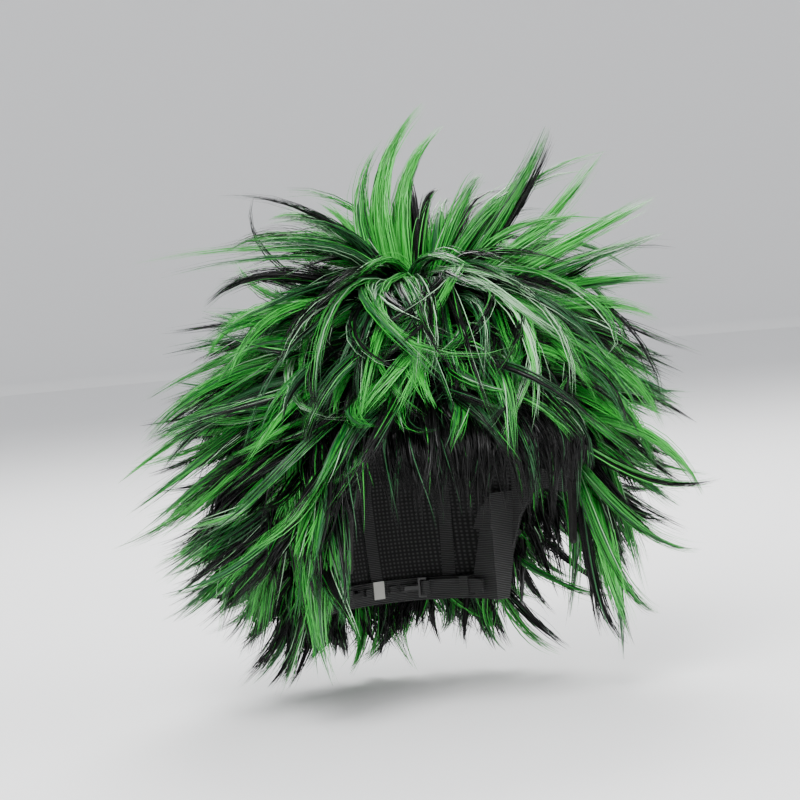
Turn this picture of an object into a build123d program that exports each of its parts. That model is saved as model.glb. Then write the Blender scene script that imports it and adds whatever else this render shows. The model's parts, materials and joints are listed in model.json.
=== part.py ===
"""Costume wig: a sewn cap of net panels and tapes, with rows of hair on weft tracks.

Millimetres. The origin is the centre of the head opening at hat-size height.
The wearer faces -Y, +X is the wearer's left and +Z is up.

The cap is a solid of revolution, trimmed while it is round and then stretched lengthwise into an
oval head. Hair rows are rings of flow lines round an upright axis, cut into pointed tufts.
"""
import os
from math import asin, atan2, cos, degrees, radians, sin, sqrt

from build123d import *

os.makedirs("parts", exist_ok=True)

# Head that the cap fits
HEAD_HALF_WIDTH = 74
HEAD_HALF_LENGTH = 93
HEAD_TOP = 86
NAPE_DEPTH = 80
NAPE_INSET = 8
LENGTHWISE = HEAD_HALF_LENGTH / HEAD_HALF_WIDTH
SIDE_RADIUS = (NAPE_INSET**2 + NAPE_DEPTH**2) / (2 * NAPE_INSET)

# Layers of the cap, measured outwards from the head
TAPE_IN, TAPE_OUT = 0.0, 1.0
NET_IN, NET_OUT = 1.0, 1.7
TRACK_IN, TRACK_OUT = 1.7, 3.2
HAIR_IN = 3.5
CORE = -12.0

# Cap edge, front to back, in the side view: (y, z)
HAIRLINE = [(-130, 33), (-76, 32), (-61, 20), (-52, -9), (-25, -9)]
EAR_EDGE = [(-20, -18), (20, -18), (33, -34), (45, -78), (130, -78)]
BAND_WIDTH = 11
TEMPLE_Y, EAR_BACK_Y = -48, 38
ROOF = 130

# Seams of the cap
SEAM_X = 34
BACK_SEAM_Y = 26
CROWN_Y, CROWN_RADIUS, CROWN_RING = -14, 25, 4
TAPE_WIDTH = 8
RIB_COUNT, RIB_WIDTH, RIB_SPREAD = 5, 7, 34

# Ear tabs: flat padded flaps hung from the cap edge in front of the ear
TAB_FRONT, TAB_BACK = -50.5, -26.5
TAB_TOP, TAB_BOTTOM = -10.2, -44
TAB_IN, TAB_OUT = 0.2, 2.6
TAB_BACK_TAPER, TAB_FRONT_TAPER, TAB_CORNER = 2, 7, 4
SIDEBURN_TOP, SIDEBURN_LOW, SIDEBURN_DEPTH = -23, -68, 9
SIDEBURN_LIFT, SIDEBURN_TURN_IN = 8, 3
SIDEBURN_TIPS = [(-27, -40), (-31, -58), (-34, -46), (-39, -68), (-43, -48), (-47, -60), (-50, -40)]

# Size adjusters on the inside of the nape, all arcs about one upright axis
NAPE_AXIS_Y = 31
PAD_RADIUS = 53.0
LOOP_TAPE_THICK, LOOP_THICK = 0.8, 2.2
LOOP_EDGE, LOOP_CORD, LOOP_CREST, LOOP_SHARE = 2.0, 1.0, 0.6, 0.6
STRAP_OUTER, STRAP_THICK, STRAP_HEIGHT = 49.6, 1.3, 8.0
STRAP_Z = -72.0
STRAP_START, STRAP_END = 30.0, 74.0
KEEPER_START, KEEPER_END = 55.0, 62.0
KEEPER_GAP, KEEPER_WALL, KEEPER_RISE = 0.5, 0.8, 1.5
LOOP_START, LOOP_PITCH, LOOP_COUNT = 5.0, 7.0, 4
HOOK_LENGTH, HOOK_THICK, HOOK_WIRE = 9.0, 1.4, 1.2
BAR_RADIUS, BAR_CLEARANCE, BAR_END_GAP = 0.9, 0.35, 0.5
LABEL_HALF_ANGLE, LABEL_THICK, LABEL_RISE = 3.5, 0.5, 1.0

# Hair rows: root height, half-spread from the back in degrees, number of tufts.
# The last entry only closes the row before it.
ROWS = [
    (-80, 52, 8),
    (-64, 58, 9),
    (-48, 64, 10),
    (-30, 72, 11),
    (-11, 122, 18),
    (7, 128, 18),
    (25, 132, 18),
    (42, 180, 22),
    (57, 180, 20),
    (70, 180, 16),
    (80, 118, 8),
    (87, 0, 0),
]
HAIR_AXIS_Y = 14
OUTLINE_Z, OUTLINE_RADIUS, OUTLINE_SWELL = 20, 156, 18
TUFT_GAP_DEG = 1.0
TIP_SHARE = 0.36

# Flow of the hair: the angle of the tips at ear height, how it grows up the head and falls to the
# nape, how far along a strand its bend lies, and how much the nape's strands droop
AIM_AT_EARS, AIM_UPWARDS, AIM_AT_NAPE = -28, 1.3, -52
BEND_LEAD, NAPE_LEAD_LOSS, NAPE_DROOP = 0.5, 0.12, 28

# Tufts seen from above: (share of the tip's radius, share of the tuft's half angle), then how much
# shorter some are than others, and how much shorter the front is
TUFT_LEAF = [(0.12, 1.0), (0.62, 1.0), (0.86, 0.55)]
TUFT_VARIATION, FRONT_LOSS = 0.13, 0.1
TRACK_RISE, TRACK_HEIGHT = 2.5, 3.0

# Fringe on the forehead
FRINGE_IN, FRINGE_OUT = 4.2, 11.0
FRINGE_TOP, FRINGE_LOW, FRINGE_HALF_WIDTH, FRINGE_POINTS = 43, -24, 63, 9
FRINGE_TRACK_Z, FRINGE_BACK_Y = 35, -48
FRINGE_NARROW_Z, FRINGE_NARROW, FRINGE_TIP_SHIFT = 8, 0.8, 2
FRINGE_GAP, FRINGE_VARIATION = 1.2, 9
FRINGE_FIRST_ROW, FRINGE_LAST_ROW = 4, 8

# Standing tufts of the crown: azimuth and rise in degrees, length, base radius
CROWN_TUFTS = [
    (-160, 66, 92, 9.5),
    (-95, 50, 62, 9.0),
    (-40, 60, 88, 9.5),
    (15, 48, 96, 10.0),
    (65, 62, 92, 9.5),
    (120, 52, 84, 9.5),
    (178, 48, 82, 9.0),
    (20, 80, 100, 8.5),
]
CROWN_TUFT_RING = 15
SWIRL_HEIGHT = 9
TUFT_TIP_RADIUS = 0.7
CROWN_ROWS = 2


def finish(builder, label):
    """Names a finished piece and writes its file."""
    builder.part.label = label
    export_step(builder.part, f"parts/{label}.step")


def side_points(points):
    """Side-view points, with y drawn in to suit the cap while it is still round."""
    return [(y / LENGTHWISE, z) for y, z in points]


def low_radius(offset):
    """Radius of the cap's surface at the nape's depth."""
    return HEAD_HALF_WIDTH - SIDE_RADIUS + sqrt((SIDE_RADIUS + offset) ** 2 - NAPE_DEPTH**2)


def dome(offset):
    """The round head, grown outwards by offset."""
    with BuildPart() as form:
        with BuildSketch(Plane.XZ):
            with BuildLine():
                wide = HEAD_HALF_WIDTH + offset
                middle = sqrt((SIDE_RADIUS + offset) ** 2 - NAPE_DEPTH**2 / 4)
                low = (low_radius(offset), -NAPE_DEPTH)
                ThreePointArc(low, (HEAD_HALF_WIDTH - SIDE_RADIUS + middle, -NAPE_DEPTH / 2), (wide, 0))
                EllipticalCenterArc((0, 0), wide, HEAD_TOP + offset, start_angle=0, arc_size=90)
                Polyline((0, HEAD_TOP + offset), (0, -NAPE_DEPTH), low)
            make_face()
        revolve(axis=Axis.Z)
    return form.part


def layer(inner, outer):
    """The shell of the round head between two offsets."""
    outside, inside = dome(outer), dome(inner)
    with BuildPart() as shell:
        add(outside)
        add(inside, mode=Mode.SUBTRACT)
    return shell.part


def across(points, inset=0.0):
    """A side-view outline carried right across the head, drawn in by inset."""
    with BuildPart() as block:
        with BuildSketch(Plane.YZ):
            with BuildLine():
                Polyline(*side_points(points), close=True)
            make_face()
            if inset:
                offset(amount=-inset, kind=Kind.INTERSECTION)
        extrude(amount=ROOF, both=True)
    return block.part


def box_between(low, high):
    """A plain block between two corners."""
    middle = [(a + b) / 2 for a, b in zip(low, high)]
    size = [b - a for a, b in zip(low, high)]
    return Pos(*middle) * Box(*size)


def column(radius, y):
    """An upright cylinder through the crown."""
    return Pos(0, y, HEAD_TOP / 2 + ROOF / 4) * Cylinder(radius, ROOF)


# Regions of the cap, all in the round state
CAP_OUTLINE = HAIRLINE + EAR_EDGE + [(130, ROOF), (-130, ROOF)]
cap_region = across(CAP_OUTLINE)
inner_region = across(CAP_OUTLINE, inset=BAND_WIDTH)
tape_layer = layer(TAPE_IN, TAPE_OUT)
net_layer = layer(NET_IN, NET_OUT)
track_layer = layer(TRACK_IN, TRACK_OUT)
crown_column = column(CROWN_RADIUS, CROWN_Y)
crown_ring_column = column(CROWN_RADIUS + CROWN_RING, CROWN_Y)
crown_hole_column = column(CROWN_RADIUS - CROWN_RING, CROWN_Y)
FAR = 2 * ROOF
left_side = box_between((SEAM_X, -FAR, -FAR), (FAR, BACK_SEAM_Y, FAR))
right_side = box_between((-FAR, -FAR, -FAR), (-SEAM_X, BACK_SEAM_Y, FAR))
top_middle = box_between((-SEAM_X, -FAR, -FAR), (SEAM_X, BACK_SEAM_Y, FAR))
back_half = box_between((-FAR, BACK_SEAM_Y, -FAR), (FAR, FAR, FAR))


def cap_piece(label, shell, regions, holes=()):
    """One sewn piece of the cap: a layer of the dome kept where the regions meet, then made oval."""
    with BuildPart() as region:
        add(regions[0])
        for other in regions[1:]:
            add(other, mode=Mode.INTERSECT)
        for hole in holes:
            add(hole, mode=Mode.SUBTRACT)
    with BuildPart() as piece:
        add(shell)
        add(region.part, mode=Mode.INTERSECT)
        scale(by=(1, LENGTHWISE, 1))
    finish(piece, label)


def stretch_between(low_y, high_y, low_x=-FAR, high_x=FAR):
    """A block that spans part of the round cap, given by its oval y limits."""
    return box_between((low_x, low_y / LENGTHWISE, -FAR), (high_x, high_y / LENGTHWISE, FAR))


cap_piece("crown_patch", net_layer, [crown_column])
cap_piece("top_net", net_layer, [cap_region, top_middle], [crown_column])
cap_piece("side_net_left", net_layer, [cap_region, left_side])
cap_piece("side_net_right", net_layer, [cap_region, right_side])
cap_piece("back_net", net_layer, [cap_region, back_half])

ear_left = stretch_between(TEMPLE_Y, EAR_BACK_Y, low_x=0)
ear_right = stretch_between(TEMPLE_Y, EAR_BACK_Y, high_x=0)
cap_piece("front_band", tape_layer, [cap_region, stretch_between(-FAR, TEMPLE_Y)], [inner_region])
cap_piece("ear_band_left", tape_layer, [cap_region, ear_left], [inner_region])
cap_piece("ear_band_right", tape_layer, [cap_region, ear_right], [inner_region])

half_tape = TAPE_WIDTH / 2
back_seam_low = BACK_SEAM_Y - half_tape
back_seam_high = BACK_SEAM_Y + half_tape
back_seam = box_between((-FAR, back_seam_low, -FAR), (FAR, back_seam_high, FAR))
cap_piece("crown_ring_tape", tape_layer, [crown_ring_column], [crown_hole_column])
cap_piece("ear_to_ear_tape", tape_layer, [inner_region, back_seam])
for side, name in ((1, "left"), (-1, "right")):
    edges = sorted((side * (SEAM_X - half_tape), side * (SEAM_X + half_tape)))
    seam = box_between((edges[0], -FAR, -FAR), (edges[1], back_seam_low, FAR))
    cap_piece(f"seam_tape_{name}", tape_layer, [inner_region, seam], [crown_ring_column])

rib_region = box_between((-FAR, back_seam_high, -FAR), (FAR, FAR, FAR))
with BuildPart() as rib_fan:
    with BuildSketch(Plane.XY.offset(-ROOF)):
        for rib in range(RIB_COUNT):
            turn = 90 + RIB_SPREAD * (rib - (RIB_COUNT - 1) / 2)
            with Locations(Location((0, 0, 0), (0, 0, turn))):
                Rectangle(ROOF, RIB_WIDTH, align=(Align.MIN, Align.CENTER))
    extrude(amount=2 * ROOF)
cap_piece("back_ribs", tape_layer, [inner_region, rib_region, rib_fan.part])

# The nape band is thicker inside, where it is flattened to carry the adjusters
thick_layer = layer(CORE, TAPE_OUT)
with BuildPart() as nape_region:
    add(cap_region)
    add(stretch_between(EAR_BACK_Y, FAR), mode=Mode.INTERSECT)
    add(inner_region, mode=Mode.SUBTRACT)
with BuildPart() as nape_band:
    add(thick_layer)
    add(nape_region.part, mode=Mode.INTERSECT)
    scale(by=(1, LENGTHWISE, 1))
    with Locations((0, NAPE_AXIS_Y, -NAPE_DEPTH)):
        Cylinder(PAD_RADIUS, NAPE_DEPTH, mode=Mode.SUBTRACT)
finish(nape_band, "nape_band")


def round_nape(start, end, inner, outer, low, high):
    """A block that follows the nape between two angles from the middle of the back."""
    with BuildPart() as block:
        with BuildSketch(Plane.XY.offset(low)):
            with BuildLine():
                centre = (0, NAPE_AXIS_Y)
                rim = CenterArc(centre, outer, 90 - end, end - start)
                face = CenterArc(centre, inner, 90 - end, end - start)
                Line(rim @ 0, face @ 0)
                Line(rim @ 1, face @ 1)
            make_face()
        extrude(amount=high - low)
    return block.part


# Each side's loop tape, strap, keeper and hook are made on the wearer's left and mirrored
strap_low = STRAP_Z - STRAP_HEIGHT / 2
strap_high = STRAP_Z + STRAP_HEIGHT / 2
strap_inner = STRAP_OUTER - STRAP_THICK
bar_angle = radians(90 - STRAP_START)
EYE_RADIUS = BAR_RADIUS + BAR_CLEARANCE + STRAP_THICK
bar_radius = STRAP_OUTER - EYE_RADIUS
BAR = (bar_radius * cos(bar_angle), NAPE_AXIS_Y + bar_radius * sin(bar_angle))
hook_plane = Plane(origin=(*BAR, 0), x_dir=(-sin(bar_angle), cos(bar_angle), 0), z_dir=(0, 0, 1))


def loop_tape():
    """A tape on the nape band with a row of standing loops for the hook."""
    end = LOOP_START + LOOP_PITCH * LOOP_COUNT
    face = PAD_RADIUS - LOOP_TAPE_THICK
    crest = face - LOOP_THICK
    pieces = [round_nape(LOOP_START, end, face, PAD_RADIUS, strap_low, strap_high)]
    for number in range(LOOP_COUNT):
        start = LOOP_START + LOOP_PITCH * (number + (1 - LOOP_SHARE) / 2)
        stop = start + LOOP_PITCH * LOOP_SHARE
        low, high = strap_low + LOOP_EDGE, strap_high - LOOP_EDGE
        pieces.append(round_nape(start, stop, crest, face, low, low + LOOP_CORD))
        pieces.append(round_nape(start, stop, crest, face, high - LOOP_CORD, high))
        pieces.append(round_nape(start, stop, crest, crest + LOOP_CREST, low, high))
    with BuildPart() as tape:
        add(pieces)
    return tape.part


def strap():
    """The adjuster strap, with a sewn eye round the hook's bar."""
    band = round_nape(STRAP_START, STRAP_END, strap_inner, STRAP_OUTER, strap_low, strap_high)
    with BuildPart() as webbing:
        add(band)
        with BuildSketch(Plane.XY.offset(strap_low)):
            with Locations(BAR):
                Circle(EYE_RADIUS)
        extrude(amount=STRAP_HEIGHT)
        with BuildSketch(Plane.XY.offset(strap_low)):
            with Locations(BAR):
                Circle(BAR_RADIUS + BAR_CLEARANCE)
        extrude(amount=STRAP_HEIGHT, mode=Mode.SUBTRACT)
    return webbing.part


def hook():
    """A wire frame round the strap's eye, with a bent tongue that goes into a loop."""
    half = STRAP_HEIGHT / 2 + BAR_END_GAP
    reach = EYE_RADIUS + BAR_CLEARANCE
    with BuildPart() as wire:
        with BuildSketch(hook_plane.offset(STRAP_Z - half - HOOK_WIRE)):
            Circle(BAR_RADIUS)
        extrude(amount=2 * (half + HOOK_WIRE))
        for level in (STRAP_Z - half - HOOK_WIRE, STRAP_Z + half):
            with BuildSketch(hook_plane.offset(level)):
                with Locations(((reach + HOOK_WIRE) / 2, 0)):
                    Rectangle(reach + HOOK_WIRE, 2 * BAR_RADIUS)
                Circle(BAR_RADIUS)
            extrude(amount=HOOK_WIRE)
        with BuildSketch(hook_plane.offset(STRAP_Z - half)):
            with Locations((reach + HOOK_WIRE / 2, 0)):
                Rectangle(HOOK_WIRE, 2 * BAR_RADIUS)
        extrude(amount=2 * half)
        with BuildSketch(hook_plane.offset(STRAP_Z - HOOK_WIRE)):
            with Locations((reach + HOOK_LENGTH / 2, 0)):
                Rectangle(HOOK_LENGTH, HOOK_THICK)
        extrude(amount=2 * HOOK_WIRE)
    return wire.part


def keeper():
    """The sewn keeper on the nape band that the strap's outer end runs through."""
    low, high = strap_low - KEEPER_RISE, strap_high + KEEPER_RISE
    inner, outer = strap_inner - KEEPER_GAP, STRAP_OUTER + KEEPER_GAP
    outside = round_nape(KEEPER_START, KEEPER_END, inner - KEEPER_WALL, PAD_RADIUS, low, high)
    slot = round_nape(KEEPER_START - 1, KEEPER_END + 1, inner, outer,
                      strap_low - KEEPER_GAP, strap_high + KEEPER_GAP)
    with BuildPart() as sleeve:
        add(outside)
        add(slot, mode=Mode.SUBTRACT)
    return sleeve.part


for name, mirrored in (("left", False), ("right", True)):
    for label, piece in (("loop_tape", loop_tape()), ("adjuster_strap", strap()),
                         ("strap_hook", hook()), ("strap_keeper", keeper())):
        with BuildPart() as adjuster:
            add(piece)
            if mirrored:
                mirror(about=Plane.YZ, mode=Mode.REPLACE)
        finish(adjuster, f"{label}_{name}")

label_block = round_nape(-LABEL_HALF_ANGLE, LABEL_HALF_ANGLE, PAD_RADIUS - LABEL_THICK, PAD_RADIUS,
                         strap_low - LABEL_RISE, strap_high + LABEL_RISE)
with BuildPart() as label_tab:
    add(label_block)
finish(label_tab, "blank_label")


# Ear tabs and the sideburn hair on them
def outline_block(points, corner=0.0, corners=0):
    """A side-view outline carried across the head, its lowest corners rounded."""
    with BuildPart() as block:
        with BuildSketch(Plane.YZ):
            with BuildLine():
                Polyline(*side_points(points), close=True)
            make_face()
            if corner:
                fillet(vertices().sort_by(Axis.Z)[:corners], corner)
        extrude(amount=ROOF, both=True)
    return block.part


tab_outline = outline_block([(TAB_FRONT, TAB_TOP), (TAB_BACK, TAB_TOP),
                             (TAB_BACK - TAB_BACK_TAPER, TAB_BOTTOM),
                             (TAB_FRONT + TAB_FRONT_TAPER, TAB_BOTTOM)], corner=TAB_CORNER, corners=2)
tab_layer = layer(TAB_IN, TAB_OUT)
sideburn_roots = [(TAB_FRONT + 1, SIDEBURN_TOP), (TAB_BACK - 1, SIDEBURN_TOP)]
sideburn_outline = outline_block(sideburn_roots + SIDEBURN_TIPS)
tab_face = dome(TAB_OUT)
with BuildPart() as sideburn_ring:
    with BuildSketch(Plane.XZ):
        with BuildLine():
            rim = HEAD_HALF_WIDTH + TAB_OUT
            face = rim + SIDEBURN_DEPTH
            Polyline((rim + 2 * CORE, SIDEBURN_TOP), (rim + 1, SIDEBURN_TOP),
                     (face, SIDEBURN_LOW + SIDEBURN_LIFT), (face - SIDEBURN_TURN_IN, SIDEBURN_LOW),
                     (rim + 2 * CORE, SIDEBURN_LOW), close=True)
        make_face()
    revolve(axis=Axis.Z)
    add(tab_face, mode=Mode.SUBTRACT)

for side, name in ((1, "left"), (-1, "right")):
    edges = sorted((0, side * FAR))
    one_side = box_between((edges[0], -FAR, -FAR), (edges[1], FAR, FAR))
    cap_piece(f"ear_tab_{name}", tab_layer, [tab_outline, one_side])
    cap_piece(f"sideburn_hair_{name}", sideburn_ring.part, [sideburn_outline, one_side])


# Hair rows
def cap_radius(z):
    """Radius of the hair's inner surface at a height, across the head."""
    if z >= 0:
        return (HEAD_HALF_WIDTH + HAIR_IN) * sqrt(1 - (z / (HEAD_TOP + HAIR_IN)) ** 2)
    return HEAD_HALF_WIDTH - SIDE_RADIUS + sqrt((SIDE_RADIUS + HAIR_IN) ** 2 - z**2)


def cap_normal(z):
    """Angle above the horizontal at which the cap's surface faces at a height."""
    if z >= 0:
        rise = z / (HEAD_TOP + HAIR_IN) ** 2
        return atan2(rise, cap_radius(z) / (HEAD_HALF_WIDTH + HAIR_IN) ** 2)
    return asin(z / (SIDE_RADIUS + HAIR_IN))


def flow_line(z):
    """Root, control point, tip and normal of the hair that leaves the cap at a height."""
    facing = cap_normal(z)
    root = Vector(cap_radius(z), z)
    if z >= 0:
        aim = radians(AIM_AT_EARS + AIM_UPWARDS * degrees(asin(z / (HEAD_TOP + HAIR_IN))))
        sag = 0.0
    else:
        sag = -z / NAPE_DEPTH
        aim = radians(AIM_AT_EARS + (AIM_AT_NAPE - AIM_AT_EARS) * sag)
    length = OUTLINE_RADIUS + OUTLINE_SWELL * sin(aim) ** 2
    tip = Vector(length * cos(aim), OUTLINE_Z + length * sin(aim))
    lead = (BEND_LEAD - NAPE_LEAD_LOSS * sag) * (tip - root).length
    turn = facing - radians(NAPE_DROOP) * sag
    return root, root + Vector(cos(turn), sin(turn)) * lead, tip, Vector(cos(facing), sin(facing))


def row_ring(low, high):
    """The ring of hair between the flow lines that leave the cap at two heights."""
    with BuildPart() as ring:
        with BuildSketch(Plane.XZ):
            with BuildLine():
                root_a, bend_a, tip_a, face_a = flow_line(low)
                root_b, bend_b, tip_b, face_b = flow_line(high)
                spread = tip_b - tip_a
                end_a, end_b = tip_a + spread * TIP_SHARE, tip_b - spread * TIP_SHARE
                inner_a, inner_b = root_a + face_a * CORE, root_b + face_b * CORE
                Bezier(root_a, bend_a, end_a)
                Line(end_a, end_b)
                Bezier(end_b, bend_b, root_b)
                Polyline(root_b, inner_b, inner_a, root_a)
            make_face()
        revolve(axis=Axis.Z)
    return ring.part, max(end_a.X, end_b.X)


def tuft_fan(row, half_spread, count, reach):
    """Pointed leaves that spread round the back, seen from above."""
    pitch = 2 * half_spread / count
    with BuildPart() as fan:
        with BuildSketch(Plane.XY):
            for number in range(count):
                turn = 90 - half_spread + pitch * (number + 0.5)
                front = max(0.0, -sin(radians(turn)))
                shorter = TUFT_VARIATION * abs(sin(2.4 * number + row)) + FRONT_LOSS * front
                tip = reach * (1 - shorter)
                half = radians(pitch - TUFT_GAP_DEG) / 2
                left = [(tip * share, half * angle) for share, angle in TUFT_LEAF]
                right = [(radius, -angle) for radius, angle in reversed(left)]
                corners = [(r * cos(radians(turn) + a), r * sin(radians(turn) + a))
                           for r, a in left + [(tip, 0.0)] + right]
                with BuildLine():
                    Polyline(*corners, close=True)
                make_face()
        extrude(amount=FAR, both=True)
    return fan.part


head_and_cap = dome(HAIR_IN)
with BuildPart() as hair_envelope:
    add(head_and_cap)
    scale(by=(1, LENGTHWISE, 1))

hair_rows = []
for row, (low, half_spread, count) in enumerate(ROWS[:-1]):
    ring, reach = row_ring(low, ROWS[row + 1][0])
    leaves = tuft_fan(row, half_spread, count, reach)
    with BuildPart() as hair_row:
        add(ring)
        add(leaves, mode=Mode.INTERSECT)
    with BuildPart() as placed:
        add(Pos(0, HAIR_AXIS_Y, 0) * hair_row.part)
        add(hair_envelope.part, mode=Mode.SUBTRACT)
    hair_rows.append(placed.part)
    finish(placed, f"hair_row_{row + 1}")
    level = low + TRACK_RISE
    slab = box_between((-FAR, -FAR, level), (FAR, FAR, level + TRACK_HEIGHT))
    cap_piece(f"weft_track_{row + 1}", track_layer, [cap_region, slab])


# Fringe: a weft of its own along the front hairline, with separate pointed wisps
fringe_slab = stretch_between(-FAR, TEMPLE_Y) & box_between((-FAR, -FAR, FRINGE_TRACK_Z),
                                                            (FAR, FAR, FRINGE_TRACK_Z + TRACK_HEIGHT))
cap_piece("fringe_track", track_layer, [cap_region, fringe_slab])

with BuildPart() as fringe_wisps:
    with BuildSketch(Plane.XZ.offset(-FRINGE_BACK_Y / LENGTHWISE)):
        pitch = 2 * FRINGE_HALF_WIDTH / FRINGE_POINTS
        for number in range(FRINGE_POINTS):
            middle = pitch * (number - (FRINGE_POINTS - 1) / 2)
            tip = FRINGE_LOW + FRINGE_VARIATION * abs(sin(1.9 * number))
            half = (pitch - FRINGE_GAP) / 2
            narrow = FRINGE_NARROW * half
            with BuildLine():
                Polyline((middle - half, FRINGE_TOP), (middle + half, FRINGE_TOP),
                         (middle + narrow, FRINGE_NARROW_Z), (middle + FRINGE_TIP_SHIFT, tip),
                         (middle - narrow, FRINGE_NARROW_Z), close=True)
            make_face()
    extrude(amount=FAR)
fringe_layer = layer(FRINGE_IN, FRINGE_OUT)
with BuildPart() as fringe_hair:
    add(fringe_layer)
    add(fringe_wisps.part, mode=Mode.INTERSECT)
    scale(by=(1, LENGTHWISE, 1))
    for other in hair_rows[FRINGE_FIRST_ROW:FRINGE_LAST_ROW]:
        add(other, mode=Mode.SUBTRACT)
finish(fringe_hair, "fringe_hair")

# Crown: a low swirl with tall tufts standing out of it
UPWARDS = (Align.CENTER, Align.CENTER, Align.MIN)
crown_middle = CROWN_Y * LENGTHWISE
with BuildPart() as crown_hair:
    with Locations((0, crown_middle, HEAD_TOP - SWIRL_HEIGHT)):
        Cone(CROWN_RADIUS, CROWN_RADIUS - SWIRL_HEIGHT / 2, 2 * SWIRL_HEIGHT, align=UPWARDS)
    for turn, rise, length, base in CROWN_TUFTS:
        flat, up = cos(radians(rise)), sin(radians(rise))
        way = (flat * cos(radians(turn)), flat * sin(radians(turn)), up)
        foot = Vector(0, crown_middle, HEAD_TOP) + Vector(CROWN_TUFT_RING, 0, 0).rotate(Axis.Z, turn)
        with Locations(Plane(origin=foot, z_dir=way)):
            Cone(base, TUFT_TIP_RADIUS, length, align=UPWARDS)
    add(hair_envelope.part, mode=Mode.SUBTRACT)
    for other in hair_rows[-CROWN_ROWS:]:
        add(other, mode=Mode.SUBTRACT)
# Where a tuft meets a row a crumb is cut loose, so only the whole piece is kept
with BuildPart() as crown_piece:
    add(crown_hair.solids().sort_by(SortBy.VOLUME)[-1])
finish(crown_piece, "crown_hair")
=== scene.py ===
"""Looks for the costume wig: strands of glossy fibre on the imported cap, tape and net materials, stage."""
import json
import math

import bpy
import numpy as np
from mathutils import Matrix, Vector


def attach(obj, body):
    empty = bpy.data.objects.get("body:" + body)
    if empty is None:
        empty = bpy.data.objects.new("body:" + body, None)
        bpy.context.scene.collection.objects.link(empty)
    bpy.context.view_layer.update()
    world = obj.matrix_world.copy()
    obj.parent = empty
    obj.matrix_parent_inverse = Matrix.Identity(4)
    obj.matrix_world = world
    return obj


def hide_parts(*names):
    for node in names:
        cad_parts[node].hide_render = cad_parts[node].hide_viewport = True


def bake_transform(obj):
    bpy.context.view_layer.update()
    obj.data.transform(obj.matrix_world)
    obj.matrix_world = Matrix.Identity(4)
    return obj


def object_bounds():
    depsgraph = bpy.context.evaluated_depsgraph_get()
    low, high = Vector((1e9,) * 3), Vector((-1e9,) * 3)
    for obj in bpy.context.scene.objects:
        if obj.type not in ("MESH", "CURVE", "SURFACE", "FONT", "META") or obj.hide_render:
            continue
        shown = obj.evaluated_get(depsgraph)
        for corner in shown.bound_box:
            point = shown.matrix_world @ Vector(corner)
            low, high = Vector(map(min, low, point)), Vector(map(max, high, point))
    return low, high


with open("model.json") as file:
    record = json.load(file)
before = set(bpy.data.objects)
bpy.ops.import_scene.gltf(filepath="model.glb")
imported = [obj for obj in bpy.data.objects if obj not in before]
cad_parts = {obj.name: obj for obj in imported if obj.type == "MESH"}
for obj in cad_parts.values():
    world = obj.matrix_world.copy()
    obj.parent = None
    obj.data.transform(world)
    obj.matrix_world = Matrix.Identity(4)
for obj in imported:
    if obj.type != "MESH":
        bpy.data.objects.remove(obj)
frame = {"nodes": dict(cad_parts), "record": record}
cad_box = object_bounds()

# Head form under the cap, in metres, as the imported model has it
HALF_WIDTH, HALF_LENGTH, TOP = 0.074, 0.093, 0.086
SIDE_RADIUS, SIDE_SLOPE = 0.404, 0.12
LENGTHWISE = HALF_LENGTH / HALF_WIDTH
HAIR_IN = 0.0035
CROWN = np.array([0.0, -0.0176, 0.089])
UP = np.array([0, 0, 1.0])

# Strands: points along and around, how the strands of a lock spread and wave, and how each tapers
STEPS, SIDES = 8, 3
CURL_PIVOT = 0.3
LOCK_DEPTH, GATHER_POWER, BULGE = 0.45, 1.3, 0.5
WAVES, SHORTEST = (2.0, 6.0), 0.78
FLATNESS, LEAN = 0.35, 0.35
ROOT_WIDTH, WIDENING, TAPER, TIP_WIDTH = 0.55, 1.5, 2.2, 0.04
FRIZZ = 0.0014
TINY = 1e-6

rng = np.random.default_rng(20)


# ---------------------------------------------------------------- hair geometry
def cap_radius(z, out=HAIR_IN):
    """Radius of the cap across the head at height z, grown by out."""
    z = np.asarray(z, float)
    dome = (HALF_WIDTH + out) * np.sqrt(np.clip(1 - (z / (TOP + out)) ** 2, 0, 1))
    side = HALF_WIDTH - SIDE_RADIUS + np.sqrt((SIDE_RADIUS + out) ** 2 - np.minimum(z, 0) ** 2)
    return np.where(z >= 0, dome, side)


def cap_point(turn, z, out=HAIR_IN):
    """Point on the cap at an angle from +X about the head's middle."""
    radius = cap_radius(z, out)
    return np.stack([radius * np.cos(turn), radius * LENGTHWISE * np.sin(turn), np.asarray(z, float)], -1)


def cap_normal(point):
    """Outward unit normal of the cap."""
    x, y, z = point[..., 0], point[..., 1], point[..., 2]
    rise = np.where(z >= 0, z / TOP**2, SIDE_SLOPE * z / HALF_WIDTH**2)
    normal = np.stack([x / HALF_WIDTH**2, y / HALF_LENGTH**2, rise], -1)
    return normal / np.linalg.norm(normal, axis=-1, keepdims=True)


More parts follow.
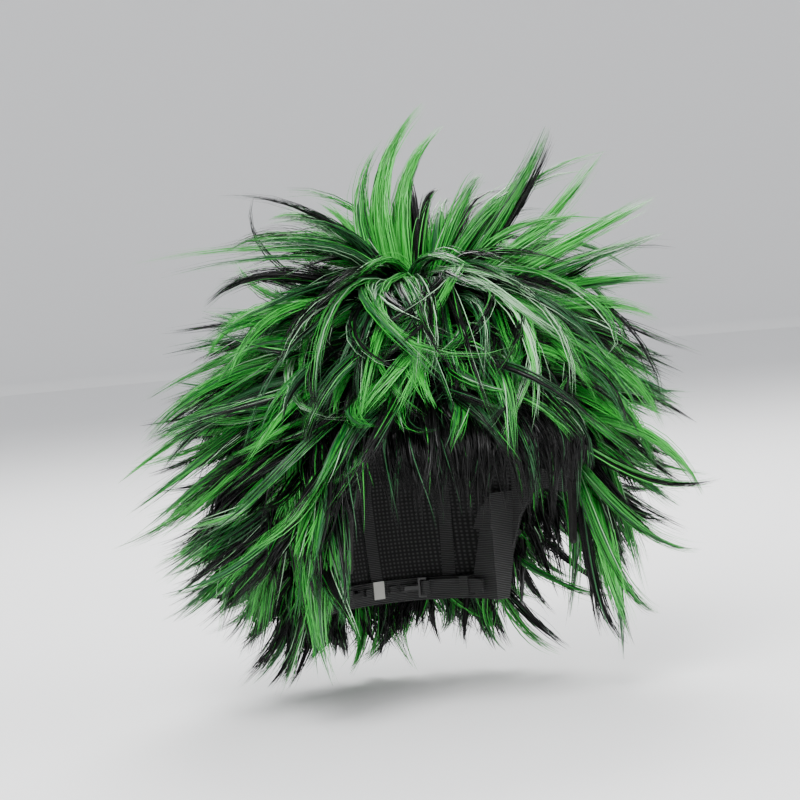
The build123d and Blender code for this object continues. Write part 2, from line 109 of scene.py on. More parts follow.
def combed(roots, length, lifts, sway, curl, droop):
    """Guide curves grown from roots: away from the swirl along the cap, lifted off it, drooping a little."""
    point, line = roots, [roots]
    step = length[:, None] / STEPS
    for stage in range(STEPS):
        t = (stage + 0.5) / STEPS
        normal = cap_normal(point)
        away = point - CROWN
        comb = away - normal * (away * normal).sum(-1, keepdims=True)
        comb /= np.linalg.norm(comb, axis=-1, keepdims=True)
        turn = (sway + curl * (t - CURL_PIVOT))[:, None]
        comb = comb * np.cos(turn) + np.cross(normal, comb) * np.sin(turn)
        lift = (lifts[:, 0] * (1 - t) ** 2 + 2 * t * (1 - t) * lifts[:, 1] + t**2 * lifts[:, 2])[:, None]
        way = comb * np.cos(lift) + normal * np.sin(lift)
        way[:, 2] -= droop * t
        way /= np.linalg.norm(way, axis=-1, keepdims=True)
        point = point + way * step
        line.append(point)
    return np.stack(line, 1)


def bezier(points, steps=STEPS):
    """Points along quadratic or cubic curves; points is (n, order, 3)."""
    t = np.linspace(0, 1, steps + 1)[None, :, None]
    p = [points[:, None, i] for i in range(points.shape[1])]
    if len(p) == 3:
        return (1 - t) ** 2 * p[0] + 2 * t * (1 - t) * p[1] + t**2 * p[2]
    return (1 - t) ** 3 * p[0] + 3 * t * (1 - t) ** 2 * p[1] + 3 * t**2 * (1 - t) * p[2] + t**3 * p[3]


def strands_of(guides, count, spread, gather, frizz):
    """Strands that follow each guide: they start apart, gather towards the tip and stray a little."""
    n, steps, _ = guides.shape
    t = np.linspace(0, 1, steps)
    along = guides[:, -1] - guides[:, 0]
    along /= np.linalg.norm(along, axis=-1, keepdims=True)
    side = np.cross(along, UP) + TINY
    side /= np.linalg.norm(side, axis=-1, keepdims=True)
    over = np.cross(side, along)
    turn = rng.uniform(0, 2 * math.pi, (n, count))
    reach = np.sqrt(rng.uniform(0, 1, (n, count)))
    wide = (reach * np.cos(turn))[..., None] * spread
    deep = (reach * np.sin(turn))[..., None] * spread * LOCK_DEPTH
    close = 1 - gather * t**GATHER_POWER
    shape = close[None, None] * (1 + BULGE * np.sin(math.pi * t))[None, None]
    offset = (wide * shape)[..., None] * side[:, None, None]
    offset = offset + (deep * shape)[..., None] * over[:, None, None]
    phase = rng.uniform(0, 2 * math.pi, (n, count, 2))
    pace = rng.uniform(*WAVES, (n, count, 2))
    wave = np.sin(pace[..., None] * t + phase[..., None]) - np.sin(phase)[..., None]
    stray = rng.normal(0, 1, (n, count, 2)) * frizz
    wander = (wave[:, :, 0] * stray[:, :, :1] * t)[..., None] * side[:, None, None]
    wander += (wave[:, :, 1] * stray[:, :, 1:] * t)[..., None] * over[:, None, None]
    trim = rng.uniform(SHORTEST, 1.0, (n, count))
    stations = trim[..., None] * t * (steps - 1)
    low = np.clip(stations.astype(int), 0, steps - 2)
    part = (stations - low)[..., None]
    lines = np.arange(n)[:, None, None]
    base = guides[lines, low] * (1 - part) + guides[lines, low + 1] * part
    return (base + offset + wander).reshape(-1, steps, 3)


def to_cap(points):
    """Factors for x, y and z that bring points straight onto the cap's surface."""
    plan = np.maximum(np.hypot(points[..., 0], points[..., 1] / LENGTHWISE), TINY)
    height = points[..., 2]
    dome = 1 / np.sqrt((plan / (HALF_WIDTH + HAIR_IN)) ** 2 + (height / (TOP + HAIR_IN)) ** 2)
    across = np.where(height > 0, dome, cap_radius(np.minimum(height, 0)) / plan)
    return np.stack([across, across, np.where(height > 0, dome, 1)], -1)


def clear_of_head(lines):
    """Moves the points of strands that would pass through the cap or the head out to the cap's surface."""
    return lines * np.maximum(1, to_cap(lines))


def tube_mesh(name, lines, width):
    """One mesh of closed, tapered three-sided strands along lines (n, steps, 3)."""
    n, steps, _ = lines.shape
    along = np.gradient(lines, axis=1)
    along /= np.maximum(np.linalg.norm(along, axis=-1, keepdims=True), TINY)
    lean = rng.normal(0, LEAN, (n, 1, 3)) + UP
    across = np.cross(along, lean)
    across /= np.maximum(np.linalg.norm(across, axis=-1, keepdims=True), TINY)
    up = np.cross(across, along)
    t = np.linspace(0, 1, steps)
    taper = np.clip(ROOT_WIDTH + WIDENING * t, 0, 1) * np.clip((1 - t) * TAPER + TIP_WIDTH, 0, 1)
    size = (np.asarray(width).reshape(-1, 1) * taper)[..., None] / 2
    ring = []
    for corner in range(SIDES):
        angle = 2 * math.pi * corner / SIDES
        ring.append(lines + size * (math.cos(angle) * across + FLATNESS * math.sin(angle) * up))
    verts = np.stack(ring, 2).reshape(-1, 3)
    block = np.arange(n * steps * SIDES).reshape(n, steps, SIDES)
    after = np.roll(block, -1, axis=2)
    quads = np.stack([block[:, :-1], after[:, :-1], after[:, 1:], block[:, 1:]], -1).reshape(-1, 4)
    caps = np.concatenate([block[:, 0, ::-1], block[:, -1]])
    mesh = bpy.data.meshes.new(name)
    mesh.vertices.add(len(verts))
    mesh.vertices.foreach_set("co", verts.ravel())
    loops = np.concatenate([quads.ravel(), caps.ravel()])
    mesh.loops.add(len(loops))
    mesh.loops.foreach_set("vertex_index", loops)
    starts = np.concatenate([np.arange(len(quads)) * 4, len(quads) * 4 + np.arange(len(caps)) * SIDES])
    mesh.polygons.add(len(starts))
    mesh.polygons.foreach_set("loop_start", starts)
    mesh.update(calc_edges=True)
    mesh.validate()
    mesh.polygons.foreach_set("use_smooth", np.ones(len(starts), bool))
    piece = bpy.data.objects.new(name, mesh)
    bpy.context.scene.collection.objects.link(piece)
    return piece


# ---------------------------------------------------------------- materials
def principled(name):
    """A new material with its node tree and shader."""
    material = bpy.data.materials.new(name)
    material.use_nodes = True
    tree = material.node_tree
    return material, tree, tree.nodes["Principled BSDF"]


def fibre(name, colour, roughness=0.36, gloss=0.5, sheen=0.05):
    """Glossy synthetic fibre, one colour right through: dyed, except the pale fibre, which is a painted
    highlight.
    """
    material, _, shader = principled(name)
    shader.inputs["Base Color"].default_value = (*colour, 1)
    shader.inputs["Roughness"].default_value = roughness
    shader.inputs["Specular IOR Level"].default_value = gloss
    shader.inputs["Sheen Weight"].default_value = sheen
    return material


def woven(name, dark, light, pitch, roughness=0.85, strength=0.5, ribs=False):
    """A fine weave from crossed waves of the given pitch in metres, or ribs alone for elastic tape."""
    wobble, relief, shade = 0.6, 0.0004, (0.1, 0.9)
    material, tree, shader = principled(name)
    link = tree.links.new
    place = tree.nodes.new("ShaderNodeTexCoord")
    waves = []
    for direction in ("X", "Z") if not ribs else ("Z",):
        wave = tree.nodes.new("ShaderNodeTexWave")
        wave.bands_direction = direction
        wave.inputs["Scale"].default_value = math.pi / pitch / 10
        wave.inputs["Distortion"].default_value = wobble
        link(place.outputs["Object"], wave.inputs["Vector"])
        waves.append(wave.outputs["Fac"])
    height = waves[0]
    if len(waves) > 1:
        join = tree.nodes.new("ShaderNodeMath")
        join.operation = "MULTIPLY"
        link(waves[0], join.inputs[0])
        link(waves[1], join.inputs[1])
        height = join.outputs[0]
    colours = tree.nodes.new("ShaderNodeValToRGB")
    for element, at, colour in zip(colours.color_ramp.elements, shade, (dark, light)):
        element.position = at
        element.color = (*colour, 1)
    link(height, colours.inputs["Fac"])
    link(colours.outputs["Color"], shader.inputs["Base Color"])
    bump = tree.nodes.new("ShaderNodeBump")
    bump.inputs["Strength"].default_value = strength
    bump.inputs["Distance"].default_value = relief
    link(height, bump.inputs["Height"])
    link(bump.outputs["Normal"], shader.inputs["Normal"])
    shader.inputs["Roughness"].default_value = roughness
    return material


FIBRES = {
    "green": fibre("fibre_green", (0.013, 0.30, 0.018)),
    "lime": fibre("fibre_lime", (0.046, 0.48, 0.05), roughness=0.34),
    "deep": fibre("fibre_deep", (0.005, 0.085, 0.018)),
    # The pale fibre is a painted highlight: light green strands in place of the gloss of light along the
    # green strands
    "pale": fibre("fibre_pale_highlight", (0.34, 0.60, 0.35), roughness=0.3),
    "black": fibre("fibre_black", (0.003, 0.003, 0.003), roughness=0.32, gloss=0.2, sheen=0.0),
}


# ---------------------------------------------------------------- locks
COLOURS = ("green", "lime", "deep", "pale", "black")

# Shares of those five colours in the locks of each part of the wig; the pale share is painted highlight
TOP_MIX = (3.8, 2.0, 1.6, 0.6, 5.4)
LOW_MIX = (2.9, 1.6, 1.8, 0.6, 7.4)
DRAPE_MIX = (3.8, 2.0, 1.4, 0.5, 4.4)
FRONT_MIX = (3.2, 1.6, 2, 1.6, 4.4)
UNDER_MIX = (0.4, 0.2, 1.2, 0, 8)
FRINGE_MIX = (0.2, 0, 1.2, 0, 8)
SHADE_MIX = (1.6, 0.8, 1.5, 0.3, 6)
BRIGHT_MIX = (4, 3, 1.2, 0.8, 1.2)
DARK_MIX = (0.4, 0.1, 1.5, 0, 8)
EDGE_MIX = (2.6, 1.4, 1.6, 0.4, 4.4)

# A lock keeps mostly to one colour, seldom pale, and the strands that stray from it are often pale: thin
# strands of painted highlight
LOYALTY = 0.72
LOCK_WEIGHT, LOOSE_WEIGHT = np.array([1, 1, 1, 0.3, 1]), np.array([1, 1, 1, 3, 1])

# Broad strands in a lock's core: one for so many fine ones, their width, gathering and darker colour, which
# is painted shade inside the lock
CORE_EVERY, CORE_WIDTH, CORE_SPREAD, CORE_GATHER = 6, 3.3, 0.6, 0.94
CORE_SHADE_COLOUR = np.array([2, 0, 4, 1, 4])
WIDTHS = (0.6, 1.3)

# Lock styles: strands, spread, gathering, strand width and, where it isn't the usual one, frizz
ROW_STYLE = (24, 0.0060, 0.93, 0.0009)
SHADE_STYLE = (20, 0.0050, 0.95, 0.0008)
UNDER_STYLE = (12, 0.008, 0.75, 0.0010, 0.002)
DRAPE_STYLE = (24, 0.0065, 0.92, 0.0009)
FAN_STYLE = (24, 0.0055, 0.9, 0.0009)
CROSSING_STYLE = (15, 0.0042, 0.92, 0.0008)
FRINGE_STYLE = (14, 0.0055, 0.95, 0.0007, 0.0010)
SIDEBURN_STYLE = (22, 0.004, 0.85, 0.0008)
FEATURE_GATHER, FEATURE_WIDTH = 0.92, 0.0009

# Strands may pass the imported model's box by this much
STRAY = 0.016
LOWEST, HIGHEST = np.array(cad_box[0]) - STRAY, np.array(cad_box[1]) + STRAY

# Round outline of the wig, which leans to the right of the photograph's view with height
SHAPE_CENTRE = np.array([0.0, 0.020, 0.0])
SHAPE_RADII = np.array([0.156, 0.152, 0.152])
SHAPE_LEAN, LEAN_FROM = 0.16, -0.02
ROOT_STEPS, RAGGED, SHORTEST_LOCK = 2, 0.6, 0.25

# Hem of the hair over the face, and how far round to the front the hem applies
HEM, NO_HEM, HEM_FROM = (-0.008, 0.026), -1.0, 0.45
FRONT_POWER, LIFT_SCATTER = 1.5, 0.14

# Directions round the head in degrees, and the photograph's view
BACK, FRONT, ALL_ROUND = 90, -90, 180
VIEW = math.radians(-22)
RIGHT = np.array([math.cos(VIEW), math.sin(VIEW), 0])
TOWARDS = np.array([math.sin(VIEW), -math.cos(VIEW), 0])


def spaced(count, centre, half, wobble=0.5):
    """Angles spread evenly about centre with a seeded wobble, in radians."""
    pitch = 2 * half / count
    return np.radians(centre - half + pitch * (np.arange(count) + 0.5 + rng.uniform(-wobble, wobble, count)))


def ring_at(turns):
    """Level unit directions at the given angles."""
    return np.stack([np.cos(turns), np.sin(turns), 0 * turns], -1)


class Hair:
    """Strands gathered by colour, made into one piece for each colour."""

    def __init__(self, name, body, nodes):
        self.name, self.body, self.nodes, self.lines = name, body, nodes, {}

    def add(self, lines, pick, width):
        """Keeps the strands that stay in the box, sorted by their picked colour."""
        widths = rng.uniform(*WIDTHS, len(lines)) * width
        lines = clear_of_head(lines)
        inside = ((lines > LOWEST) & (lines < HIGHEST)).all((1, 2))
        lines, pick, widths = lines[inside], pick[inside], widths[inside]
        for index, colour in enumerate(COLOURS):
            if (pick == index).any():
                self.lines.setdefault(colour, []).append((lines[pick == index], widths[pick == index]))

    def grow(self, guides, shares, count, spread, gather, width, frizz=FRIZZ):
        """Locks of fine strands over a few broad, darker ones that paint the shade inside each lock; each
        lock keeps mostly to one colour.
        """
        lock, loose = (np.array(shares, float) * weight for weight in (LOCK_WEIGHT, LOOSE_WEIGHT))
        main = rng.choice(len(COLOURS), len(guides), p=lock / lock.sum())
        mix = LOYALTY * np.eye(len(COLOURS))[main] + (1 - LOYALTY) * loose / loose.sum()
        pick = np.concatenate([rng.choice(len(COLOURS), count, p=share) for share in mix])
        self.add(strands_of(guides, count, spread, gather, frizz), pick, width)
        # The core strands take the next darker colour than their lock: painted shade inside the lock
        core = np.repeat(CORE_SHADE_COLOUR[main], count // CORE_EVERY)
        lines = strands_of(guides, count // CORE_EVERY, spread * CORE_SPREAD, CORE_GATHER, frizz / 2)
        self.add(lines, core, width * CORE_WIDTH)

    def build(self):
        """Makes the pieces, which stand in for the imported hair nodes."""
        for colour, batches in self.lines.items():
            lines = np.concatenate([lines for lines, _ in batches])
            widths = np.concatenate([widths for _, widths in batches])
            piece = tube_mesh(f"{self.name}_{colour}", lines, widths)
            piece.data.materials.append(FIBRES[colour])
            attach(piece, self.body)
            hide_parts(*self.nodes)


def cut_to_shape(guides, grown, limit, hem):
    """How much of each guide is kept: up to the wig's round outline, or the front hem height."""
    leant = guides - SHAPE_LEAN * np.clip(guides[..., 2:], LEAN_FROM, 1) * RIGHT
    size = np.linalg.norm((leant - SHAPE_CENTRE) / SHAPE_RADII, axis=-1)
    beyond = (size > limit[:, None]) | (guides[..., 2] < hem[:, None])
    beyond[:, :ROOT_STEPS] = False
    first = np.where(beyond.any(1), beyond.argmax(1), STEPS)
    return grown * np.clip((first - rng.uniform(0, RAGGED, len(first))) / STEPS, SHORTEST_LOCK, 1)


def cap_locks(low, high, turns, length, side_lifts, front_lifts, sway, curl, droop, limit=(0.86, 1.04)):
    """Combed guides rooted between two heights; the lifts blend from the sides to the front."""
    n = len(turns)
    roots = cap_point(turns, rng.uniform(low, high, n))
    front = np.clip(-np.sin(turns), 0, 1) ** FRONT_POWER
    lifts = np.radians(side_lifts) * (1 - front[:, None]) + np.radians(front_lifts) * front[:, None]
    lifts = lifts + rng.normal(0, LIFT_SCATTER, (n, 3))
    sways, curls = rng.normal(0, sway, n), rng.normal(0, curl, n)
    grown = rng.uniform(*length, n)
    hem = np.where(front > HEM_FROM, rng.uniform(*HEM, n), NO_HEM)
    guides = combed(roots, grown, lifts, sways, curls, droop)
    kept = cut_to_shape(guides, grown, rng.uniform(*limit, n), hem)
    return combed(roots, kept, lifts, sways, curls, droop)


# Each row: number, low and high root height, half-spread from the back in degrees, count of locks, length,
# lift off the cap in degrees at root, middle and tip, at the sides and at the front, and droop
ROWS = [
    (1, -0.078, -0.062, 60, 30, (0.05, 0.08), (35, 25, 55), (0, 0, 0), 0.1),
    (2, -0.062, -0.046, 66, 36, (0.06, 0.09), (40, 30, 62), (0, 0, 0), 0.1),
    (3, -0.046, -0.028, 72, 42, (0.07, 0.10), (48, 36, 66), (0, 0, 0), 0.1),
    (4, -0.028, -0.010, 80, 48, (0.08, 0.11), (52, 42, 70), (0, 0, 0), 0.1),
    (5, -0.008, 0.008, 120, 64, (0.08, 0.115), (56, 46, 74), (20, 20, 45), 0.1),
    (6, 0.008, 0.025, 126, 68, (0.08, 0.12), (58, 48, 74), (25, 20, 45), 0.1),
    (7, 0.025, 0.041, 130, 70, (0.08, 0.12), (60, 48, 70), (35, 20, 35), 0.12),
    (8, 0.041, 0.056, 180, 90, (0.09, 0.13), (64, 46, 66), (58, 24, 0), 0.2),
    (9, 0.056, 0.069, 180, 84, (0.09, 0.14), (66, 44, 60), (66, 20, -4), 0.25),
    (10, 0.069, 0.079, 180, 72, (0.09, 0.15), (70, 44, 52), (72, 20, -4), 0.25),
    (11, 0.079, 0.086, 150, 54, (0.09, 0.15), (74, 48, 50), (76, 22, -4), 0.25),
]
FOREHEAD, FOREHEAD_TOP = -0.55, 0.06
LOW_ROWS_TOP = 0.045

# Scatter of sway and curl in radians; the under locks and the drapes have a droop of their own
ROW_FLOW = (0.42, 1.0)
UNDER_FLOW, UNDER_LIMIT, UNDER_LIFT = (0.4, 0.8, 0.35), (0.6, 0.9), 0.5
DRAPE_ROWS, DRAPE_LOCKS, DRAPE_HALF = (5, 6, 7), 9, 18
DRAPE_LENGTH, DRAPE_SIDE, DRAPE_FRONT = (0.085, 0.125), (30, 8, 34), (18, 4, 30)
DRAPE_FLOW = (0.3, 0.7, 0.45)


def hair_row(number, low, high, half, locks, length, side_lifts, front_lifts, droop):
    """One weft row: its locks, the dark under locks, and drapes beside the face in rows over the ears."""
    hair = Hair(f"hair_row_{number}", "wig", [f"hair_row_{number}"])
    turns = spaced(locks, BACK, half)
    guides = cap_locks(low, high, turns, length, side_lifts, front_lifts, *ROW_FLOW, droop)
    forehead = (np.sin(turns) < FOREHEAD) & (high < FOREHEAD_TOP)
    hair.grow(guides[~forehead], LOW_MIX if high < LOW_ROWS_TOP else TOP_MIX, *ROW_STYLE)
    if forehead.any():
        hair.grow(guides[forehead], SHADE_MIX, *SHADE_STYLE)
    low_lifts = np.array(side_lifts) * UNDER_LIFT
    turns = spaced(locks, BACK, half)
    under = cap_locks(low, high, turns, length, low_lifts, front_lifts, *UNDER_FLOW, UNDER_LIMIT)
    hair.grow(under, UNDER_MIX, *UNDER_STYLE)
    if number in DRAPE_ROWS:
        for end in (-1, 1):
            turns = spaced(DRAPE_LOCKS, BACK + end * (half - DRAPE_HALF), DRAPE_HALF)
            drape = cap_locks(low, high, turns, DRAPE_LENGTH, DRAPE_SIDE, DRAPE_FRONT, *DRAPE_FLOW)
            hair.grow(drape, DRAPE_MIX, *DRAPE_STYLE)
    hair.build()


def swirl_fan(count=70):
    """Locks that fan out of the swirl all round, shorter and flatter over the forehead."""
    rooted, sunk, length, shorter = (0.004, 0.020), 0.003, (0.075, 0.125), 0.28
    risen, flatter, drift, drift_out = (-12, 34), 30, (0.012, 0.022), 2.2
    swirl = CROWN + UP * 0.020
    turns = spaced(count, BACK, ALL_ROUND)
    ring, forward = ring_at(turns), np.clip(-np.sin(turns), 0, 1)
    foot = CROWN + ring * rng.uniform(*rooted, count)[:, None] - UP * sunk
    reach = (rng.uniform(*length, count) * (1 - shorter * forward))[:, None]
    rise = np.radians(rng.uniform(*risen, count) - flatter * forward)[:, None]
    side = np.cross(UP, ring) * rng.normal(*drift, count)[:, None]
    out, up = reach * np.cos(rise), reach * np.sin(rise)
    over = swirl + ring * 0.018 + UP * 0.012
    bend = swirl + ring * 0.55 * out + UP * (0.7 * up + 0.012) + side
    tip = swirl + ring * out + UP * (up - 0.006) + side * drift_out
    return bezier(np.stack([foot, over, bend, tip], 1))


def crossing_locks(count=104):
    """Thin locks that fall forward from the swirl and cross one another over the forehead."""
    rooted, raised, length, size, hem = (0.004, 0.03), (0, 0.018), (0.09, 0.165), 1.05, (0.008, 0.06)
    lifting, lift_scatter, sway, curl, droop = (26, 2, -12), 0.2, 0.45, 1.3, 0.2
    turns = spaced(count, FRONT, 96)
    foot = CROWN + ring_at(turns) * rng.uniform(*rooted, count)[:, None]
    foot = foot + UP * rng.uniform(*raised, count)[:, None]
    lifts = np.radians(lifting) + rng.normal(0, lift_scatter, (count, 3))
    sways, curls = rng.normal(0, sway, count), rng.normal(0, curl, count)
    grown = rng.uniform(*length, count)
    guides = combed(foot, grown, lifts, sways, curls, droop)
    kept = cut_to_shape(guides, grown, np.full(count, size), rng.uniform(*hem, count))
    return combed(foot, kept, lifts, sways, curls, droop)


for row in ROWS:
    hair_row(*row)
crown = Hair("crown_hair", "wig", ["crown_hair"])
crown.grow(swirl_fan(), TOP_MIX, *FAN_STYLE)
crown.grow(crossing_locks(), FRONT_MIX, *CROSSING_STYLE)

# Feature locks: start, bend and tip as (right, up, towards the viewer) in mm, spread, strands, colour mix
FEATURES = [
    ((-2, 96, 14), (-30, 158, 16), (16, 198, 4), 10, 80, BRIGHT_MIX),
    ((2, 98, 10), (-14, 158, 10), (26, 186, -6), 9, 56, BRIGHT_MIX),
    ((-6, 98, 16), (-38, 146, 22), (-8, 180, 12), 8, 46, BRIGHT_MIX),
    ((12, 96, 16), (58, 136, 22), (82, 180, 8), 10, 76, EDGE_MIX),
    ((14, 94, 14), (66, 134, 16), (84, 176, 4), 6, 46, DARK_MIX),
    ((16, 92, 16), (76, 124, 22), (110, 164, 6), 9, 60, BRIGHT_MIX),
    ((18, 92, 20), (88, 118, 26), (138, 138, 6), 11, 80, BRIGHT_MIX),
    ((20, 90, 24), (92, 108, 30), (140, 118, 4), 11, 70, EDGE_MIX),
    ((20, 88, 30), (98, 102, 34), (142, 92, 8), 11, 70, BRIGHT_MIX),
    ((24, 84, 40), (96, 96, 44), (132, 72, 18), 10, 60, BRIGHT_MIX),
    ((26, 82, 50), (96, 90, 50), (130, 44, 26), 11, 76, BRIGHT_MIX),
    ((40, 74, 58), (110, 72, 52), (128, 14, 30), 10, 70, BRIGHT_MIX),
    ((52, 62, 60), (112, 52, 50), (122, -8, 30), 9, 60, EDGE_MIX),
    ((0, 96, 14), (-54, 152, 20), (-96, 128, 16), 10, 76, BRIGHT_MIX),
    ((2, 98, 10), (-44, 158, 8), (-74, 142, 2), 9, 60, BRIGHT_MIX),
    ((-8, 92, 20), (-74, 134, 30), (-110, 100, 26), 10, 70, EDGE_MIX),
    ((-10, 88, 30), (-84, 116, 44), (-112, 72, 34), 10, 70, BRIGHT_MIX),
    ((-30, 60, 40), (-100, 80, 40), (-150, 30, 20), 10, 70, BRIGHT_MIX),
    ((-36, 50, 40), (-104, 62, 40), (-142, 12, 24), 9, 60, BRIGHT_MIX),
    ((30, 96, 0), (100, 122, -6), (148, 108, -14), 3, 12, DARK_MIX),
    ((8, 98, 8), (30, 150, 14), (44, 158, 6), 9, 60, BRIGHT_MIX),
    ((10, 96, 12), (38, 140, 24), (66, 148, 14), 9, 60, EDGE_MIX),
    ((4, 98, 12), (6, 150, 20), (20, 152, 14), 8, 50, BRIGHT_MIX),
    ((-4, 98, 10), (-26, 140, 20), (-46, 150, 14), 8, 50, BRIGHT_MIX),
    ((14, 94, 20), (60, 122, 34), (98, 134, 20), 10, 60, BRIGHT_MIX),
    ((4, 104, 30), (-52, 126, 70), (-74, 62, 84), 6, 34, FRONT_MIX),
    ((6, 106, 30), (50, 116, 84), (30, 44, 112), 5, 26, FRONT_MIX),
    ((2, 106, 30), (-20, 118, 90), (-50, 40, 100), 5, 26, FRONT_MIX),
    ((10, 104, 30), (66, 112, 72), (88, 46, 84), 6, 34, FRONT_MIX),
    ((78, 30, 40), (128, 22, 40), (146, -22, 26), 9, 60, BRIGHT_MIX),
    ((80, 16, 36), (120, -22, 44), (156, -14, 30), 7, 44, EDGE_MIX),
    ((80, 4, 34), (112, -48, 44), (142, -52, 28), 7, 44, BRIGHT_MIX),
    ((78, -4, 30), (96, -76, 40), (118, -84, 26), 7, 44, EDGE_MIX),
    ((76, -8, 26), (80, -84, 34), (100, -100, 20), 6, 36, DARK_MIX),
    ((-60, 44, 60), (-78, 30, 74), (-66, -50, 66), 7, 44, BRIGHT_MIX),
    ((-50, 52, 68), (-62, 44, 92), (-54, -30, 76), 5, 30, EDGE_MIX),
    ((-20, 98, 6), (-96, 122, 10), (-78, 158, 10), 2, 9, DARK_MIX),
]
for start, bend, tip, spread, count, shares in FEATURES:
    spots = np.array([start, bend, tip]) / 1000
    path = spots[:, :1] * RIGHT + spots[:, 1:2] * UP + spots[:, 2:] * TOWARDS
    path[0] *= to_cap(path[0])
    crown.grow(bezier(path[None]), shares, count, spread / 1000, FEATURE_GATHER, FEATURE_WIDTH)
crown.build()


def fringe_locks(count=40):
    """Thin wisps from the front band down over the forehead."""
    half, root_z, end_z, scatter = 46, (0.034, 0.042), (-0.028, 0.002), 0.07
    root_out, middle_out, tip_out = 0.004, 0.020, 0.010
    turns = spaced(count, FRONT, half)
    z = rng.uniform(*root_z, count)
    roots = cap_point(turns, z, root_out)
    tips_z = rng.uniform(*end_z, count)
    tips = cap_point(turns + rng.normal(0, scatter, count), tips_z, tip_out)
    middle = cap_point(turns, z * 0.6, middle_out)
    above = tips * [1.02, 1.02, 0.2] + UP * 0.004
    return bezier(np.stack([roots, middle, above, tips], 1))


def sideburn_locks(side, count=14):
    """Short locks that hang from an ear tab; side is 1 for the wearer's left."""
    tab_y, tab_z, tab_out = (-0.048, -0.029), (-0.034, -0.023), 0.0032
    fall, flick = (0.022, 0.038), (0.004, 0.010)
    y = rng.uniform(*tab_y, count)
    z = rng.uniform(*tab_z, count)
    across = np.sqrt(np.maximum(cap_radius(z) ** 2 - (y / LENGTHWISE) ** 2, 0))
    roots = cap_point(np.arctan2(y / LENGTHWISE, across), z, tab_out)
    normal = cap_normal(roots)
    drop = rng.uniform(*fall, count)[:, None]
    tips = roots + normal * rng.uniform(*flick, count)[:, None] - UP * drop
    middle = roots + normal * 0.006 - UP * 0.4 * drop
    above = tips - normal * 0.001 + UP * 0.008
    guides = bezier(np.stack([roots, middle, above, tips], 1))
    guides[..., 0] *= side
    return guides


fringe = Hair("fringe_hair", "wig", ["fringe_hair"])
fringe.grow(fringe_locks(), FRINGE_MIX, *FRINGE_STYLE)
fringe.build()
for side, name in ((1, "left"), (-1, "right")):
    burn = Hair(f"sideburn_{name}", f"ear_tab_{name}", [f"sideburn_hair_{name}"])
    burn.grow(sideburn_locks(side), DRAPE_MIX, *SIDEBURN_STYLE)
    burn.build()


# ---------------------------------------------------------------- cap materials
CAP_MATERIALS = {
    "net": woven("stretch_net", (0.004, 0.004, 0.004), (0.05, 0.05, 0.05), 0.0022),
    "patch_fabric": woven("crown_cloth", (0.006, 0.005, 0.005), (0.03, 0.028, 0.026), 0.0009),
    "weft_thread": woven("weft_stitching", (0.005, 0.005, 0.005), (0.04, 0.04, 0.04), 0.0012),
    "hook_plastic": woven("hook_moulding", (0.01, 0.01, 0.01), (0.014, 0.014, 0.014), 0.004,
                          roughness=0.35, strength=0.1),
    "satin": woven("label_satin", (0.55, 0.54, 0.5), (0.75, 0.74, 0.7), 0.0006, roughness=0.4),
    "lining_velvet": woven("lining_velvet", (0.008, 0.007, 0.007), (0.03, 0.027, 0.026), 0.0007,
                           roughness=0.95),
    "elastic": woven("woven_elastic", (0.006, 0.006, 0.006), (0.06, 0.06, 0.06), 0.0010, ribs=True),
}
slots = {row["node"]: row["material_slot"] for row in frame["record"]["subparts"]}
for node, thing in frame["nodes"].items():
    if slots[node] in CAP_MATERIALS:
        for slot in thing.material_slots:
            slot.link = "OBJECT"
            slot.material = CAP_MATERIALS[slots[node]]


# Strips of the same lining over each ear tab's fold: extent, skins and feathered edge
FOLD_Y, FOLD_Z = (-0.0490, -0.0285), (-0.0055, -0.0150)
FOLD_SKINS, FOLD_MIDDLE = (0.0009, 0.0027), 0.0018
FOLD_EDGE, FOLD_SLOPE = 0.35, 4
FOLD_COLUMNS = FOLD_ROWS = 9


def fold_strip(side, name):
    """A thin lined strip over the cap above the fold and over the ear tab below it."""
    rows, columns = FOLD_ROWS, FOLD_COLUMNS
    ys, zs = np.linspace(*FOLD_Y, columns), np.linspace(*FOLD_Z, rows)
    y, z = np.meshgrid(ys, zs)
    edge = np.minimum(1, FOLD_EDGE + FOLD_SLOPE * np.minimum(z - zs[-1], zs[0] - z) / (zs[0] - zs[-1]))
    skins = []
    for out in FOLD_SKINS:
        radius = cap_radius(z, FOLD_MIDDLE + (out - FOLD_MIDDLE) * edge)
        x = np.sqrt(radius**2 - (y / LENGTHWISE) ** 2)
        skins.append(np.stack([side * x, y, z], -1).reshape(-1, 3))
    count = rows * columns
    faces = []
    for row in range(rows - 1):
        for column in range(columns - 1):
            corner = row * columns + column
            square = (corner, corner + 1, corner + columns + 1, corner + columns)
            faces += [square[::-1], tuple(index + count for index in square)]
    rim = list(range(columns)) + [row * columns + columns - 1 for row in range(1, rows)]
    rim += [(rows - 1) * columns + column for column in range(columns - 2, -1, -1)]
    rim += [row * columns for row in range(rows - 2, 0, -1)]
    faces += [(a, b, b + count, a + count) for a, b in zip(rim, rim[1:] + rim[:1])]
    mesh = bpy.data.meshes.new(f"ear_fold_{name}")
    mesh.from_pydata(np.concatenate(skins).tolist(), [], faces)
    if side < 0:
        mesh.flip_normals()
    for polygon in mesh.polygons:
        polygon.use_smooth = True
    mesh.materials.append(CAP_MATERIALS["lining_velvet"])
    strip = bpy.data.objects.new(f"ear_fold_{name}", mesh)
    bpy.context.scene.collection.objects.link(strip)
    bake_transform(strip)


for side, name in ((1, "left"), (-1, "right")):
    fold_strip(side, name)


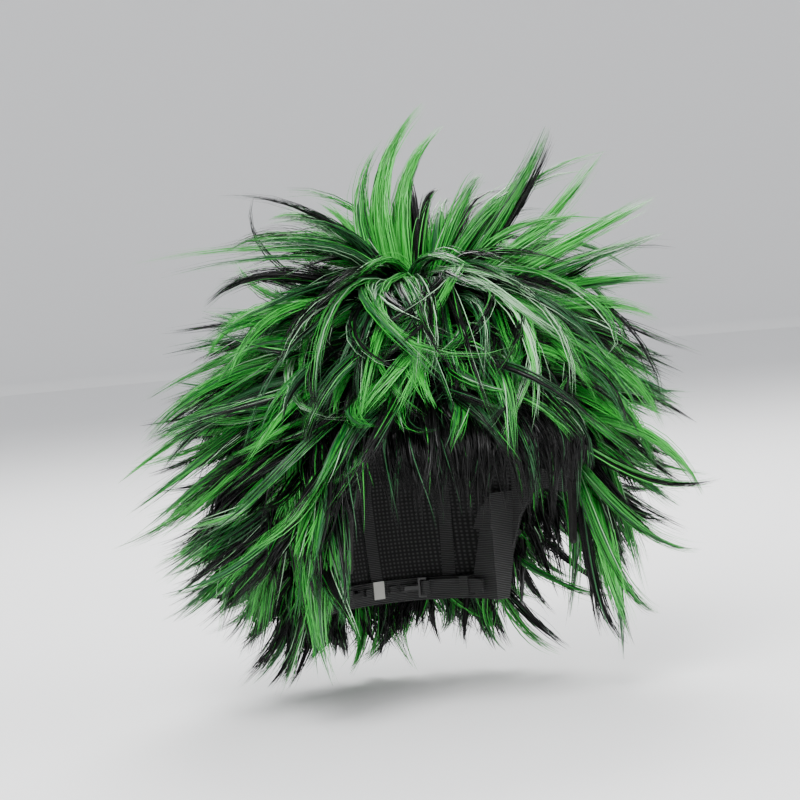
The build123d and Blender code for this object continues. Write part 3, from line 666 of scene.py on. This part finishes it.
# ---------------------------------------------------------------- stage
centre = (np.array(cad_box[0]) + np.array(cad_box[1])) / 2
FLOOR_GAP = 0.002
floor_z = float(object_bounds()[0][2]) - FLOOR_GAP
STAGE_RADIUS, STAGE_BEND, STAGE_HEIGHT, STAGE_TURNS, BEND_STEPS = 4.5, 1.2, 3.0, 64, 12
PAPER, PAPER_ROUGHNESS = (0.9, 0.9, 0.9), 0.9
SKY, SKY_STRENGTH = (0.93, 0.95, 1.0), 0.6


def stage_floor():
    """A round pale floor that curves up into a wall, so that every side has the same background."""
    bend, turns = STAGE_BEND, STAGE_TURNS
    start = STAGE_RADIUS - bend
    profile = [(start, 0.0)]
    curve = np.linspace(0, math.pi / 2, BEND_STEPS + 1)[1:]
    profile += [(start + bend * math.sin(a), bend * (1 - math.cos(a))) for a in curve]
    profile.append((STAGE_RADIUS, STAGE_HEIGHT))
    angles = np.linspace(0, 2 * math.pi, turns, endpoint=False)
    verts = [(r * math.cos(t), r * math.sin(t), floor_z + z) for r, z in profile for t in angles]
    faces = [tuple(range(turns))]
    for ring in range(len(profile) - 1):
        for number in range(turns):
            after = (number + 1) % turns
            base = ring * turns
            faces.append((base + number, base + after, base + turns + after, base + turns + number))
    mesh = bpy.data.meshes.new("stage_floor")
    mesh.from_pydata(verts, [], faces)
    floor = bpy.data.objects.new("stage_floor", mesh)
    bpy.context.scene.collection.objects.link(floor)
    for polygon in list(mesh.polygons)[1:]:
        polygon.use_smooth = True
    material, _, shader = principled("pale_paper")
    shader.inputs["Base Color"].default_value = (*PAPER, 1)
    shader.inputs["Roughness"].default_value = PAPER_ROUGHNESS
    mesh.materials.append(material)


def area_light(name, place, size, power):
    """A soft square lamp that faces the wig."""
    lamp = bpy.data.lights.new(name, "AREA")
    lamp.size = size
    lamp.energy = power
    light = bpy.data.objects.new(name, lamp)
    light.location = place
    light.rotation_euler = (Vector(centre) - Vector(place)).to_track_quat("-Z", "Y").to_euler()
    bpy.context.scene.collection.objects.link(light)


def camera_at(azimuth, elevation, roll, distance, lens):
    """A camera that looks at the wig's middle from the given angles in degrees and distance in metres."""
    a, e = math.radians(azimuth), math.radians(elevation)
    away = Vector((math.sin(a) * math.cos(e), -math.cos(a) * math.cos(e), math.sin(e)))
    data = bpy.data.cameras.new("camera")
    data.lens = lens
    camera = bpy.data.objects.new("camera", data)
    camera.location = Vector(centre) + away * distance
    look = (-away).to_track_quat("-Z", "Y").to_matrix() @ Matrix.Rotation(math.radians(roll), 3, "Z")
    camera.rotation_euler = look.to_euler()
    bpy.context.scene.collection.objects.link(camera)
    bpy.context.scene.camera = camera


stage_floor()
area_light("key", (-0.9, -1.3, 1.3), 0.9, 74)
area_light("fill", (1.3, -1.0, 0.5), 1.2, 22)
area_light("rim", (0.5, 1.1, 1.2), 0.8, 40)
world = bpy.data.worlds.new("studio")
world.use_nodes = True
world.node_tree.nodes["Background"].inputs["Color"].default_value = (*SKY, 1)
world.node_tree.nodes["Background"].inputs["Strength"].default_value = SKY_STRENGTH
bpy.context.scene.world = world
camera_at(azimuth=-22, elevation=4, roll=-5, distance=1.7, lens=140)
